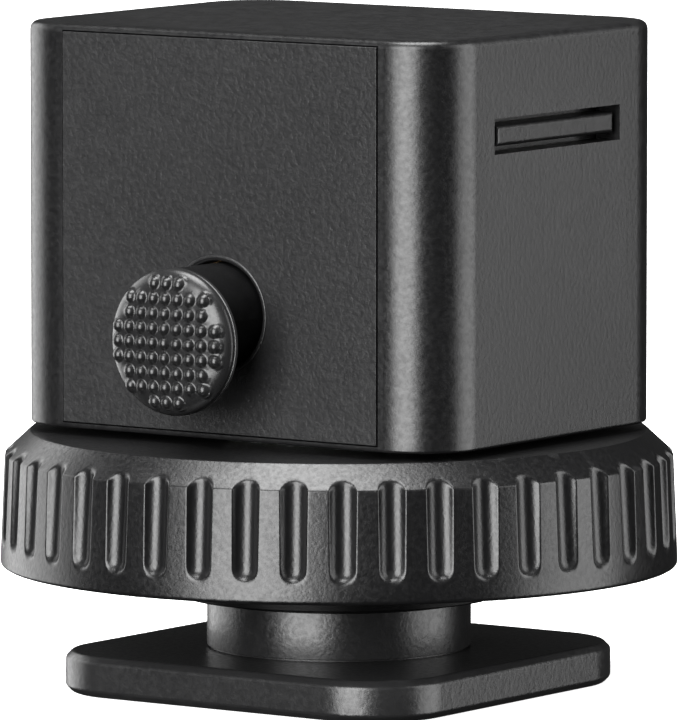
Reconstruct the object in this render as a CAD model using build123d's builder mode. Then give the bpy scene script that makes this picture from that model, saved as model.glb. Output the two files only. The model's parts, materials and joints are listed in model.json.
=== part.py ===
from build123d import *
from math import hypot, sqrt
import os

os.makedirs("parts", exist_ok=True)

# A swivel head on a locking wheel and an accessory-shoe foot. Millimetres, +Z up.
# The origin is the centre of the foot's underside. The button is on the -Y side,
# the umbrella socket on the +Y side and the snap windows on the two X sides.

# Clearances
seat_play = 0.02  # between pieces that are pressed or screwed together
running_play = 0.05  # between a turning or sliding piece and its bore
bush_play = 0.03  # swivel bush on its journal
loose_play = 0.15  # around pieces that move inside the head
hole_overrun = 0.2  # blind holes go this much past their screws

# Shoe foot
foot_side = 18.5
foot_thickness = 1.75
foot_corner_radius = 3.5
foot_edge_chamfer = 0.28
neck_height = 2.75
foot_counterbore_depth = 1.2
foot_screw_head_radius = 4.1
foot_screw_sink = 0.25  # head sits this far inside the underside
foot_screw_radius = 2.0
foot_screw_length = 4.8
foot_screw_hex = 2.5
foot_screw_hex_depth = 1.3

# Pivot stem
shank_radius = 3.5
journal_radius = 4.0
stem_shoulder = 0.95  # thread to journal, carries the thrust washer
neck_shoulder = 0.63  # neck to thread
stem_groove_depth = 0.9
stem_lip_height = 0.65
stem_lip_chamfer = 0.2
shank_lift = 0.1  # foot screw's head to the end of the shank
o_ring_section = 0.6
o_ring_height = 1.45  # above the underside of the head
key_pin_radius = 0.75
key_pin_length = 6.4
key_pin_height = 1.25  # above the foot plate

# Clamp washer
clamp_gap = 2.07  # foot plate to washer with the wheel fully up
washer_lip_wall = 0.32
washer_lip_height = 0.18
washer_flange = 0.85  # past the collar
washer_thickness = 0.7
washer_collar_wall = 0.47
washer_collar_height = 1.0
snap_ring_section = 0.4

# Locking wheel
wheel_hub_drop = 0.55  # the hub stands this far below the rim
wheel_height = 5.7
wheel_bottom_radius = 14.3
wheel_side_radius = 14.1
wheel_top_radius = 13.0
wheel_chamfer_height = 1.01
wheel_hub_wall = 1.4
wheel_rim_inner_radius = 13.3
wheel_recess_depth = 1.2
wheel_collar_depth = 1.9
wheel_bore_play = 0.2  # around the stem's thread
wheel_bore_step = 0.6  # wider bore below the insert
wheel_rib_count = 14
wheel_rib_width = 0.9
wheel_rib_bite = 0.2  # ribs run this far into the hub and rim together
wheel_rest_angle = -54.23
flute_count = 44
flute_radius = 0.63
flute_bottom_depth = 0.29
flute_top_depth = 0.36
flute_start_height = 0.83
insert_wall = 1.25
insert_length = 3.0
insert_chamfer = 0.2
insert_lead = 1.25  # wheel top to the insert
thrust_washer_thickness = 0.45
thrust_washer_inset = 0.05  # inside the stem's shoulder

# Head
head_gap = 0.3  # wheel to head
head_width = 22.14
head_depth = 17.34
head_corner_radius = 2.73
head_top_fillet = 0.35
head_bottom_fillet = 0.15
shell_wall = 1.2
shell_front_wall = 2.0
shell_inner_radius = 1.5

# Face plate
panel_width = 15.96
panel_bottom_margin = 0.28
panel_top_margin = 0.3
panel_gap = 0.06
panel_depth = 1.0
panel_proud = 0.06
panel_edge_chamfer = 0.06
peg_radius = 0.8
peg_length = 1.57
peg_spread_x = 12.8
peg_low_height = 7.35  # above the underside of the head
peg_high_height = 13.6
clip_radius = 1.7
clip_thickness = 0.3

# Snap windows
window_length = 9.3
window_height = 1.48
window_low_height = 12.12  # above the underside of the head
window_edge_chamfer = 0.07
lug_gap = 0.31
lug_inset = 0.1
lug_fillet = 0.18

# Inner frame and base plate
base_thickness = 2.0
base_boss_wall = 0.63
base_boss_height = 1.0
bush_wall = 0.75
bush_recess = 0.1  # below the top of the boss
frame_play = 0.07
frame_corner_radius = 1.4
frame_front_inset = 0.97  # behind the shell's front wall
pocket_width = 2.6
pocket_front_wall = 0.9
pocket_rear_wall = 1.8
pocket_web = 1.15  # socket to pocket
pocket_floor_height = 4.05  # above the base plate
screw_edge_x = 1.3  # from the sides of the frame
screw_edge_y = 1.6  # from the ends of the base plate
screw_radius = 0.7
screw_head_radius = 1.2
screw_head_height = 0.5
screw_length = 5.2
screw_slot_width = 0.3
dowel_radius = 0.6
dowel_length = 3.2

# Lock slide and button
button_travel = 1.2
slide_lift = 0.25  # base plate's boss to the slide
slide_width = 10.4
slide_thickness = 1.2
slide_hole_play = 0.25
slide_rear_wall = 2.15
slide_front_play = 0.05  # slide to the button bush
ear_width = 14.4
ear_length = 1.6
upstand_width = 6.0
upstand_thickness = 0.8
upstand_wall = 0.63  # above the stem screw's head
button_boss_gap = 0.07  # base plate's boss to the button's stem
button_radius = 2.15
button_hole_gap = 0.1
button_hole_chamfer = 0.22
button_bush_wall = 0.7
button_flange = 0.3  # past the bush
button_flange_thickness = 0.42
cap_drop = 0.87  # the cap's centre is below the button axis
cap_radius = 3.05
cap_back_reach = 2.77  # face plate to the back of the cap
cap_rim = 0.64
cap_rim_round = 0.2
cap_dome_radius = 22.0
cap_spigot_radius = 1.4
cap_spigot_length = 0.5
bump_pitch = 0.61
bump_radius = 0.25
bump_height = 0.22
bump_rows_each_way = 4
bump_field_radius = 4.25  # in pitches
stem_screw_radius = 0.8
stem_screw_head_radius = 1.4
stem_screw_head_height = 0.6
stem_screw_length = 2.8
spring_x = 6.3
spring_radius = 0.65
spring_wire_radius = 0.15
spring_turns = 8
spring_length = 7.6
spring_play = 0.1  # around the coils

# Umbrella socket
socket_radius = 4.1
socket_wall = 0.65
socket_web = 0.5  # frame left between the stem's lip and the socket
socket_stop_y = -2.8
socket_flange = 0.85  # past the sleeve
socket_cover = 0.45  # sleeve to the shell's roof
socket_flange_thickness = 0.6
socket_mouth_chamfer = 0.25
grip_ring_section = 0.56
grip_ring_width = 0.7
grip_ring_bite = 0.16  # how far each ring stands into the socket
grip_ring_inset = 2.6  # from each end of the socket

# Radii that follow from the stem's journal, the button and the socket
thread_radius = journal_radius + stem_shoulder
neck_radius = thread_radius + neck_shoulder
stem_groove_radius = journal_radius - stem_groove_depth
thrust_washer_radius = thread_radius - thrust_washer_inset
washer_bore_radius = neck_radius + running_play
washer_lip_radius = washer_bore_radius + washer_lip_wall
washer_collar_radius = washer_bore_radius + washer_collar_wall
washer_radius = washer_collar_radius + washer_flange
hub_collar_radius = washer_collar_radius + 2 * running_play
wheel_hub_radius = hub_collar_radius + wheel_hub_wall
insert_radius = thread_radius + insert_wall
bush_outer_radius = journal_radius + bush_wall
bush_seat_radius = bush_outer_radius + seat_play
base_boss_radius = bush_seat_radius + base_boss_wall
slide_hole_radius = journal_radius + slide_hole_play
button_bore_radius = button_radius + running_play
button_bush_radius = button_bore_radius + button_bush_wall
button_flange_radius = button_bush_radius + button_flange
button_hole_radius = button_radius + button_hole_gap
socket_outer_radius = socket_radius + socket_wall
socket_flange_radius = socket_outer_radius + socket_flange

# Heights, from the underside of the foot up
neck_top_z = foot_thickness + neck_height
washer_lip_z = foot_thickness + clamp_gap
washer_z = washer_lip_z + washer_lip_height
hub_z = washer_z + washer_thickness
wheel_z = hub_z + wheel_hub_drop
wheel_top_z = wheel_z + wheel_height
head_z = wheel_top_z + head_gap
stem_shoulder_z = head_z - thrust_washer_thickness
insert_top_z = wheel_top_z - insert_lead
base_top_z = head_z + base_thickness
boss_top_z = base_top_z + base_boss_height
slide_z = boss_top_z + slide_lift
slide_top_z = slide_z + slide_thickness
groove_low_z = slide_z - running_play
groove_high_z = slide_top_z + running_play
stem_top_z = groove_high_z + stem_lip_height
slide_roof_z = slide_top_z + loose_play
lip_roof_z = stem_top_z + loose_play
socket_z = lip_roof_z + socket_web + socket_outer_radius
shell_roof_z = socket_z + socket_outer_radius + socket_cover
head_top_z = shell_roof_z + shell_wall
head_height = head_top_z - head_z
frame_top_z = shell_roof_z - frame_play
button_z = boss_top_z + button_boss_gap + button_radius
upstand_top_z = button_z + stem_screw_head_radius + upstand_wall
spring_z = slide_z + slide_thickness / 2

# Depths, from the button side to the back
head_front_y = -head_depth / 2
head_rear_y = head_depth / 2
panel_front_y = head_front_y - panel_proud
panel_back_y = head_front_y + panel_depth
inner_front_y = head_front_y + shell_front_wall
inner_rear_y = head_rear_y - shell_wall
frame_front_y = inner_front_y + frame_front_inset
frame_rear_y = inner_rear_y - frame_play
base_front_y = inner_front_y + frame_play
slide_front_y = inner_front_y + button_flange_thickness + slide_front_play
slide_hole_y = stem_groove_radius + loose_play - slide_hole_radius
slide_rear_y = slide_hole_y + slide_hole_radius + slide_rear_wall
ear_rear_y = slide_front_y + ear_length
spring_stop_y = ear_rear_y + spring_length
channel_rear_y = ear_rear_y + button_travel + loose_play
cap_back_y = panel_front_y - cap_back_reach
inner_width = head_width - 2 * shell_wall
frame_width = inner_width - 2 * frame_play
screw_x = frame_width / 2 - screw_edge_x
pocket_x = socket_outer_radius + pocket_web + pocket_width / 2
frame_depth = frame_rear_y - frame_front_y
base_depth = frame_rear_y - base_front_y
pocket_length = frame_depth - pocket_front_wall - pocket_rear_wall
pocket_y = frame_front_y + pocket_front_wall + pocket_length / 2
panel_height = head_height - panel_bottom_margin - panel_top_margin
panel_z = head_z + panel_bottom_margin + panel_height / 2
window_z = head_z + window_low_height + window_height / 2
base_middle_y = (base_front_y + frame_rear_y) / 2
screw_points = [
    (side * screw_x, base_middle_y + end * (base_depth / 2 - screw_edge_y))
    for side in (-1, 1)
    for end in (-1, 1)
]
dowel_points = [(side * screw_x, base_middle_y) for side in (-1, 1)]
peg_points = [
    (side * peg_spread_x / 2, head_z + height)
    for side in (-1, 1)
    for height in (peg_low_height, peg_high_height)
]


def front_plane(y):
    """A plane facing -Y at the given depth; its own x and y are the part's X and Z."""
    return Plane.XZ.offset(-y)


def torus_profile(ring_radius, height, section):
    """Draws a ring's section on the XZ plane, ready to be revolved about Z."""
    with Locations((ring_radius, height)):
        Circle(section / 2)


# Shoe foot: square plate with rounded corners, neck, and a counterbore underneath
with BuildPart() as foot_plate:
    with BuildSketch():
        RectangleRounded(foot_side, foot_side, foot_corner_radius)
    extrude(amount=foot_thickness)
    flat_edges = foot_plate.edges().group_by(Axis.Z)
    chamfer(flat_edges[0] + flat_edges[-1], foot_edge_chamfer)
    with BuildSketch(Plane.XY.offset(foot_thickness)):
        Circle(neck_radius)
    extrude(amount=neck_height)
    with BuildSketch():
        Circle(foot_screw_head_radius + 2 * seat_play)
    extrude(amount=foot_counterbore_depth, mode=Mode.SUBTRACT)
    with BuildSketch(Plane.XY.offset(foot_counterbore_depth)):
        Circle(shank_radius)
    extrude(amount=neck_top_z - foot_counterbore_depth, mode=Mode.SUBTRACT)
    with BuildSketch(front_plane(key_pin_length / 2)):
        with Locations((shank_radius, foot_thickness + key_pin_height)):
            Circle(key_pin_radius + seat_play)
    extrude(amount=key_pin_length, mode=Mode.SUBTRACT)
foot_plate.part.label = "foot_plate"
export_step(foot_plate.part, "parts/foot_plate.step")

# Screw that draws the stem down onto the foot
with BuildPart() as foot_screw:
    with BuildSketch(Plane.XY.offset(foot_screw_sink)):
        Circle(foot_screw_head_radius)
    extrude(amount=foot_counterbore_depth - foot_screw_sink)
    with BuildSketch(Plane.XY.offset(foot_counterbore_depth)):
        Circle(foot_screw_radius)
    extrude(amount=foot_screw_length)
    chamfer(foot_screw.edges().group_by(Axis.Z)[0], foot_edge_chamfer / 2)
    with BuildSketch(Plane.XY.offset(foot_screw_sink)):
        RegularPolygon(foot_screw_hex / 2, 6, major_radius=False)
    extrude(amount=foot_screw_hex_depth, mode=Mode.SUBTRACT)
foot_screw.part.label = "foot_screw"
export_step(foot_screw.part, "parts/foot_screw.step")

# Stem: shank, plain stand-in for the thread, journal, lock groove and lip
shank_fit_radius = shank_radius - seat_play
o_ring_z = head_z + o_ring_height
o_ring_seat_radius = journal_radius - o_ring_section
o_ring_seat_half = o_ring_section / 2 + running_play
with BuildPart() as pivot_stem:
    with BuildSketch(Plane.XZ):
        with BuildLine():
            Polyline(
                (0, foot_counterbore_depth + shank_lift),
                (shank_fit_radius, foot_counterbore_depth + shank_lift),
                (shank_fit_radius, neck_top_z),
                (thread_radius, neck_top_z),
                (thread_radius, stem_shoulder_z),
                (journal_radius, stem_shoulder_z),
                (journal_radius, o_ring_z - o_ring_seat_half),
                (o_ring_seat_radius, o_ring_z - o_ring_seat_half),
                (o_ring_seat_radius, o_ring_z + o_ring_seat_half),
                (journal_radius, o_ring_z + o_ring_seat_half),
                (journal_radius, groove_low_z),
                (stem_groove_radius, groove_low_z),
                (stem_groove_radius, groove_high_z),
                (journal_radius, groove_high_z),
                (journal_radius, stem_top_z - stem_lip_chamfer),
                (journal_radius - stem_lip_chamfer, stem_top_z),
                (0, stem_top_z),
                close=True,
            )
        make_face()
    revolve(axis=Axis.Z)
    with BuildSketch(Plane.XY.offset(foot_counterbore_depth)):
        Circle(foot_screw_radius + seat_play)
    extrude(amount=foot_screw_length + hole_overrun, mode=Mode.SUBTRACT)
    with BuildSketch(front_plane(key_pin_length / 2)):
        with Locations((shank_radius, foot_thickness + key_pin_height)):
            Circle(key_pin_radius + seat_play)
    extrude(amount=key_pin_length, mode=Mode.SUBTRACT)
pivot_stem.part.label = "pivot_stem"
export_step(pivot_stem.part, "parts/pivot_stem.step")

# Pin through the neck that keeps the stem from turning in the foot
with BuildPart() as stem_key_pin:
    with BuildSketch(front_plane(key_pin_length / 2)):
        with Locations((shank_radius, foot_thickness + key_pin_height)):
            Circle(key_pin_radius)
    extrude(amount=key_pin_length)
stem_key_pin.part.label = "stem_key_pin"
export_step(stem_key_pin.part, "parts/stem_key_pin.step")

# Rubber ring that gives the swivel its drag
with BuildPart() as swivel_o_ring:
    with BuildSketch(Plane.XZ):
        torus_profile(journal_radius - o_ring_section / 2, o_ring_z, o_ring_section)
    revolve(axis=Axis.Z)
swivel_o_ring.part.label = "swivel_o_ring"
export_step(swivel_o_ring.part, "parts/swivel_o_ring.step")

# Washer that the head turns on
with BuildPart() as thrust_washer:
    with BuildSketch(Plane.XY.offset(stem_shoulder_z)):
        Circle(thrust_washer_radius)
        Circle(journal_radius + running_play, mode=Mode.SUBTRACT)
    extrude(amount=thrust_washer_thickness)
thrust_washer.part.label = "thrust_washer"
export_step(thrust_washer.part, "parts/thrust_washer.step")

# Washer that the wheel presses down on the shoe, with a collar that runs in the hub
snap_ring_z = hub_z + washer_collar_height / 2
snap_ring_radius = washer_collar_radius + running_play
snap_seat_half = snap_ring_section / 2 + seat_play
with BuildPart() as clamp_washer:
    with BuildSketch(Plane.XZ):
        with BuildLine():
            Polyline(
                (washer_bore_radius, washer_lip_z),
                (washer_lip_radius, washer_lip_z),
                (washer_lip_radius, washer_z),
                (washer_radius, washer_z),
                (washer_radius, hub_z),
                (washer_collar_radius, hub_z),
                (washer_collar_radius, snap_ring_z - snap_seat_half),
                (snap_ring_radius - snap_seat_half, snap_ring_z - snap_seat_half),
                (snap_ring_radius - snap_seat_half, snap_ring_z + snap_seat_half),
                (washer_collar_radius, snap_ring_z + snap_seat_half),
                (washer_collar_radius, hub_z + washer_collar_height),
                (washer_bore_radius, hub_z + washer_collar_height),
                close=True,
            )
        make_face()
    revolve(axis=Axis.Z)
clamp_washer.part.label = "clamp_washer"
export_step(clamp_washer.part, "parts/clamp_washer.step")

# Wire ring that keeps the washer in the hub, so that the wheel lifts it again
with BuildPart() as washer_snap_ring:
    with BuildSketch(Plane.XZ):
        torus_profile(snap_ring_radius, snap_ring_z, snap_ring_section)
    revolve(axis=Axis.Z)
washer_snap_ring.part.label = "washer_snap_ring"
export_step(washer_snap_ring.part, "parts/washer_snap_ring.step")

# One flute: a leaning round channel with a round lower end
wheel_side_top_z = wheel_top_z - wheel_chamfer_height
flute_low_z = wheel_z + flute_start_height + flute_radius
side_lean = (wheel_bottom_radius - wheel_side_radius) / (wheel_side_top_z - wheel_z)
low_side_radius = wheel_bottom_radius - side_lean * (flute_low_z - wheel_z)
flute_low_radius = low_side_radius - flute_bottom_depth + flute_radius
flute_high_radius = wheel_side_radius - flute_top_depth + flute_radius
flute_foot = Vector(flute_low_radius, 0, flute_low_z)
flute_top = Vector(flute_high_radius, 0, wheel_side_top_z)
with BuildPart() as flute_cutter:
    with BuildSketch(Plane(origin=flute_foot, z_dir=flute_top - flute_foot)):
        Circle(flute_radius)
    extrude(amount=wheel_height)
    with Locations(flute_foot):
        Sphere(flute_radius)

# Locking wheel: hub, web, rim and flutes
insert_seat_radius = insert_radius + seat_play
insert_low_z = insert_top_z - insert_length
hub_bore_radius = thread_radius + wheel_bore_play
low_bore_radius = hub_bore_radius + wheel_bore_step
snap_groove_radius = snap_ring_radius + snap_seat_half + running_play
with BuildPart() as lock_wheel:
    with BuildSketch(Plane.XZ):
        with BuildLine():
            Polyline(
                (hub_collar_radius, hub_z),
                (wheel_hub_radius, hub_z),
                (wheel_hub_radius, wheel_z + wheel_recess_depth),
                (wheel_rim_inner_radius, wheel_z + wheel_recess_depth),
                (wheel_rim_inner_radius, wheel_z),
                (wheel_bottom_radius, wheel_z),
                (wheel_side_radius, wheel_side_top_z),
                (wheel_top_radius, wheel_top_z),
                (hub_bore_radius, wheel_top_z),
                (hub_bore_radius, insert_top_z),
                (insert_seat_radius, insert_top_z),
                (insert_seat_radius, insert_low_z),
                (low_bore_radius, insert_low_z),
                (low_bore_radius, hub_z + wheel_collar_depth),
                (hub_collar_radius, hub_z + wheel_collar_depth),
                close=True,
            )
        make_face()
    revolve(axis=Axis.Z)
    with BuildSketch(Plane.XZ):
        with Locations((snap_groove_radius - snap_seat_half, snap_ring_z)):
            Rectangle(2 * snap_seat_half, 2 * snap_seat_half)
    revolve(axis=Axis.Z, mode=Mode.SUBTRACT)
    with BuildSketch(Plane.XY.offset(wheel_z + wheel_recess_depth / 3)):
        with PolarLocations((wheel_hub_radius + wheel_rim_inner_radius) / 2, wheel_rib_count):
            Rectangle(wheel_rim_inner_radius - wheel_hub_radius + wheel_rib_bite, wheel_rib_width)
    extrude(amount=wheel_recess_depth)
    with PolarLocations(0, flute_count, start_angle=wheel_rest_angle):
        add(flute_cutter.part, mode=Mode.SUBTRACT)
lock_wheel.part.label = "lock_wheel"
export_step(lock_wheel.part, "parts/lock_wheel.step")

# Brass insert that carries the wheel's thread
with BuildPart() as thread_insert:
    with BuildSketch(Plane.XY.offset(insert_low_z)):
        Circle(insert_radius)
        Circle(thread_radius + running_play, mode=Mode.SUBTRACT)
    extrude(amount=insert_length)
    chamfer(thread_insert.edges().filter_by(GeomType.CIRCLE).sort_by(SortBy.RADIUS)[-2:], insert_chamfer)
thread_insert.part.label = "thread_insert"
export_step(thread_insert.part, "parts/thread_insert.step")

# Outer shell: open below, with a shallow recess for the face plate
inner_depth = inner_rear_y - inner_front_y
inner_middle_y = (inner_rear_y + inner_front_y) / 2
recess_width = panel_width + 2 * panel_gap
recess_height = panel_height + 2 * panel_gap
with BuildPart() as outer_shell:
    with BuildSketch(Plane.XY.offset(head_z)):
        RectangleRounded(head_width, head_depth, head_corner_radius)
    extrude(amount=head_height)
    rim_edges = outer_shell.edges().group_by(Axis.Z)
    fillet(rim_edges[-1], head_top_fillet)
    fillet(outer_shell.edges().group_by(Axis.Z)[0], head_bottom_fillet)
    with BuildSketch(Plane.XY.offset(head_z)):
        with Locations((0, inner_middle_y)):
            RectangleRounded(inner_width, inner_depth, shell_inner_radius)
    extrude(amount=shell_roof_z - head_z, mode=Mode.SUBTRACT)
    with BuildSketch(front_plane(head_front_y)):
        with Locations((0, panel_z)):
            Rectangle(recess_width, recess_height)
    extrude(amount=-panel_depth, mode=Mode.SUBTRACT)
    with BuildSketch(front_plane(panel_back_y)):
        with Locations((0, button_z)):
            Circle(button_bush_radius + seat_play)
        with Locations(*peg_points):
            Circle(peg_radius + running_play)
    extrude(amount=-shell_front_wall, mode=Mode.SUBTRACT)
    with BuildSketch(Plane.YZ.offset(-head_width)):
        with Locations((0, window_z)):
            Rectangle(window_length, window_height)
    extrude(amount=2 * head_width, mode=Mode.SUBTRACT)
    side_faces = outer_shell.faces().filter_by(Axis.X).sort_by(Axis.X)
    for side_face in (side_faces[0], side_faces[-1]):
        chamfer(side_face.inner_wires()[0].edges(), window_edge_chamfer)
    with BuildSketch(front_plane(head_rear_y)):
        with Locations((0, socket_z)):
            Circle(socket_outer_radius + seat_play)
    extrude(amount=2 * shell_wall, mode=Mode.SUBTRACT)
outer_shell.part.label = "outer_shell"
export_step(outer_shell.part, "parts/outer_shell.step")

# Face plate: lies in the recess, with the button hole and four pegs
with BuildPart() as face_plate:
    with BuildSketch(front_plane(panel_back_y)):
        with Locations((0, panel_z)):
            Rectangle(panel_width, panel_height)
    extrude(amount=panel_depth + panel_proud)
    front_face = face_plate.faces().sort_by(Axis.Y)[0]
    chamfer(front_face.edges(), panel_edge_chamfer)
    with BuildSketch(front_plane(panel_back_y)):
        with Locations((0, button_z)):
            Circle(button_hole_radius)
    extrude(amount=panel_depth + panel_proud, mode=Mode.SUBTRACT)
    hole_edges = face_plate.edges().filter_by(GeomType.CIRCLE).sort_by(Axis.Y)
    chamfer(hole_edges[0], button_hole_chamfer)
    with BuildSketch(front_plane(panel_back_y)):
        with Locations(*peg_points):
            Circle(peg_radius)
    extrude(amount=-peg_length)
face_plate.part.label = "face_plate"
export_step(face_plate.part, "parts/face_plate.step")

# Push-on clips that hold the face plate's pegs
with BuildPart() as face_plate_clips:
    with BuildSketch(front_plane(inner_front_y)):
        with Locations(*peg_points):
            Circle(clip_radius)
        with Locations(*peg_points):
            Circle(peg_radius + seat_play, mode=Mode.SUBTRACT)
    extrude(amount=-clip_thickness)
face_plate_clips.part.label = "face_plate_clips"
export_step(face_plate_clips.part, "parts/face_plate_clips.step")

# Base plate: closes the shell from below and carries the swivel bush
rail_width = 2 * spring_radius
rail_length = spring_stop_y - channel_rear_y - loose_play
rail_y = (spring_stop_y + channel_rear_y) / 2
rail_top_z = spring_z - spring_radius - spring_wire_radius - spring_play
with BuildPart() as base_plate:
    with BuildSketch(Plane.XY.offset(head_z)):
        with Locations((0, base_middle_y)):
            RectangleRounded(frame_width, base_depth, frame_corner_radius)
    extrude(amount=base_thickness)
    with BuildSketch(Plane.XY.offset(base_top_z)):
        Circle(base_boss_radius)
    extrude(amount=base_boss_height)
    with BuildSketch(Plane.XY.offset(base_top_z)):
        with Locations((-spring_x, rail_y), (spring_x, rail_y)):
            Rectangle(rail_width, rail_length)
    extrude(amount=rail_top_z - base_top_z)
    with BuildSketch(Plane.XY.offset(head_z)):
        Circle(bush_seat_radius)
        with Locations(*screw_points):
            Circle(screw_radius + running_play)
    extrude(amount=boss_top_z - head_z, mode=Mode.SUBTRACT)
    with BuildSketch(Plane.XY.offset(head_z)):
        with Locations(*screw_points):
            Circle(screw_head_radius + running_play)
    extrude(amount=screw_head_height, mode=Mode.SUBTRACT)
    with BuildSketch(Plane.XY.offset(base_top_z)):
        with Locations(*dowel_points):
            Circle(dowel_radius + seat_play)
    extrude(amount=-dowel_length / 2, mode=Mode.SUBTRACT)
base_plate.part.label = "base_plate"
export_step(base_plate.part, "parts/base_plate.step")

# Swivel bush pressed into the base plate
with BuildPart() as swivel_bush:
    with BuildSketch(Plane.XY.offset(head_z)):
        Circle(bush_outer_radius)
        Circle(journal_radius + bush_play, mode=Mode.SUBTRACT)
    extrude(amount=boss_top_z - head_z - bush_recess)
swivel_bush.part.label = "swivel_bush"
export_step(swivel_bush.part, "parts/swivel_bush.step")

# Inner frame: holds the socket, guides the slide and snaps into the shell's windows
lug_length = window_length - 2 * lug_gap
lug_height = window_height - 2 * lug_gap
lug_face_x = head_width / 2 - lug_inset
channel_width = ear_width + 2 * loose_play
spring_channel_x = spring_x + spring_radius + spring_wire_radius + spring_play
cavity_rear_y = slide_rear_y + button_travel + loose_play
with BuildPart() as inner_frame:
    with BuildSketch(Plane.XY.offset(base_top_z)):
        with Locations((0, (frame_front_y + frame_rear_y) / 2)):
            RectangleRounded(frame_width, frame_depth, frame_corner_radius)
    extrude(amount=frame_top_z - base_top_z)
    with BuildSketch(Plane.YZ.offset(-lug_face_x)):
        with Locations((0, window_z)):
            Rectangle(lug_length, lug_height)
    extrude(amount=2 * lug_face_x)
    lug_faces = inner_frame.faces().filter_by(Axis.X).sort_by(Axis.X)
    fillet(lug_faces[0].edges() + lug_faces[-1].edges(), lug_fillet)
    # Slide cavity, ear channel and spring channels, all open below
    with BuildSketch(Plane.XY.offset(base_top_z)):
        with Locations((0, (frame_front_y + cavity_rear_y) / 2)):
            Rectangle(slide_width + 4 * loose_play, cavity_rear_y - frame_front_y)
        with Locations((0, (frame_front_y + channel_rear_y) / 2)):
            Rectangle(channel_width, channel_rear_y - frame_front_y)
    extrude(amount=slide_roof_z - base_top_z, mode=Mode.SUBTRACT)
    with BuildSketch(Plane.XY.offset(base_top_z)):
        with Locations((0, (frame_front_y + spring_stop_y) / 2)):
            Rectangle(2 * spring_channel_x, spring_stop_y - frame_front_y)
    extrude(amount=slide_roof_z + loose_play - base_top_z, mode=Mode.SUBTRACT)
    # Room for the stem's lip and for the slide's upstand
    with BuildSketch(Plane.XY.offset(base_top_z)):
        Circle(journal_radius + 2 * loose_play)
    extrude(amount=lip_roof_z - base_top_z, mode=Mode.SUBTRACT)
    with BuildSketch(Plane.XY.offset(base_top_z)):
        with Locations((0, (frame_front_y + channel_rear_y) / 2)):
            Rectangle(upstand_width + 8 * loose_play, channel_rear_y - frame_front_y)
    extrude(amount=upstand_top_z + 4 * loose_play - base_top_z, mode=Mode.SUBTRACT)
    # Socket bore, from the back to its stop
    with BuildSketch(front_plane(socket_stop_y)):
        with Locations((0, socket_z)):
            Circle(socket_outer_radius + seat_play)
    extrude(amount=-(head_depth), mode=Mode.SUBTRACT)
    # Pockets that let the snap lugs flex
    with BuildSketch(Plane.XY.offset(base_top_z + pocket_floor_height)):
        with Locations((-pocket_x, pocket_y), (pocket_x, pocket_y)):
            RectangleRounded(pocket_width, pocket_length, pocket_width / 4)
    extrude(amount=head_height, mode=Mode.SUBTRACT)
    with BuildSketch(Plane.XY.offset(base_top_z)):
        with Locations(*screw_points):
            Circle(screw_radius + seat_play)
    extrude(amount=screw_length - base_thickness + hole_overrun, mode=Mode.SUBTRACT)
    with BuildSketch(Plane.XY.offset(base_top_z)):
        with Locations(*dowel_points):
            Circle(dowel_radius + seat_play)
    extrude(amount=dowel_length / 2, mode=Mode.SUBTRACT)
inner_frame.part.label = "inner_frame"
export_step(inner_frame.part, "parts/inner_frame.step")

# Screws through the base plate into the frame
with BuildPart() as base_screws:
    with BuildSketch(Plane.XY.offset(head_z + seat_play)):
        with Locations(*screw_points):
            Circle(screw_head_radius)
    extrude(amount=screw_head_height - seat_play)
    with BuildSketch(Plane.XY.offset(head_z + screw_head_height)):
        with Locations(*screw_points):
            Circle(screw_radius)
    extrude(amount=screw_length - screw_head_height)
    with BuildSketch(Plane.XY.offset(head_z)):
        with Locations(*screw_points):
            Rectangle(2 * screw_head_radius, screw_slot_width)
    extrude(amount=screw_head_height / 2, mode=Mode.SUBTRACT)
base_screws.part.label = "base_screws"
export_step(base_screws.part, "parts/base_screws.step")

# Dowels that line the frame up with the base plate
with BuildPart() as dowel_pins:
    with BuildSketch(Plane.XY.offset(base_top_z - dowel_length / 2)):
        with Locations(*dowel_points):
            Circle(dowel_radius)
    extrude(amount=dowel_length)
dowel_pins.part.label = "dowel_pins"
export_step(dowel_pins.part, "parts/dowel_pins.step")

# Umbrella socket sleeve, with a flange on the back face and two ring grooves
grip_ring_radius = socket_radius - grip_ring_bite + grip_ring_section / 2
grip_seat_radius = grip_ring_radius + grip_ring_section / 2
grip_ring_ys = (socket_stop_y + grip_ring_inset, head_rear_y - grip_ring_inset)
socket_mouth_y = head_rear_y + socket_flange_thickness
with BuildPart() as umbrella_sleeve:
    with BuildSketch(front_plane(socket_stop_y)):
        with Locations((0, socket_z)):
            Circle(socket_outer_radius)
    extrude(amount=socket_stop_y - head_rear_y)
    with BuildSketch(front_plane(head_rear_y)):
        with Locations((0, socket_z)):
            Circle(socket_flange_radius)
    extrude(amount=-socket_flange_thickness)
    chamfer(umbrella_sleeve.edges().sort_by(Axis.Y)[-1], socket_mouth_chamfer)
    with BuildSketch(front_plane(socket_stop_y)):
        with Locations((0, socket_z)):
            Circle(socket_radius)
    extrude(amount=-(head_depth), mode=Mode.SUBTRACT)
    mouth_edges = umbrella_sleeve.faces().sort_by(Axis.Y)[-1].inner_wires()[0].edges()
    chamfer(mouth_edges, socket_mouth_chamfer)
    for ring_y in grip_ring_ys:
        with BuildSketch(front_plane(ring_y - grip_ring_width / 2)):
            with Locations((0, socket_z)):
                Circle(grip_seat_radius)
        extrude(amount=-grip_ring_width, mode=Mode.SUBTRACT)
umbrella_sleeve.part.label = "umbrella_sleeve"
export_step(umbrella_sleeve.part, "parts/umbrella_sleeve.step")

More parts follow.
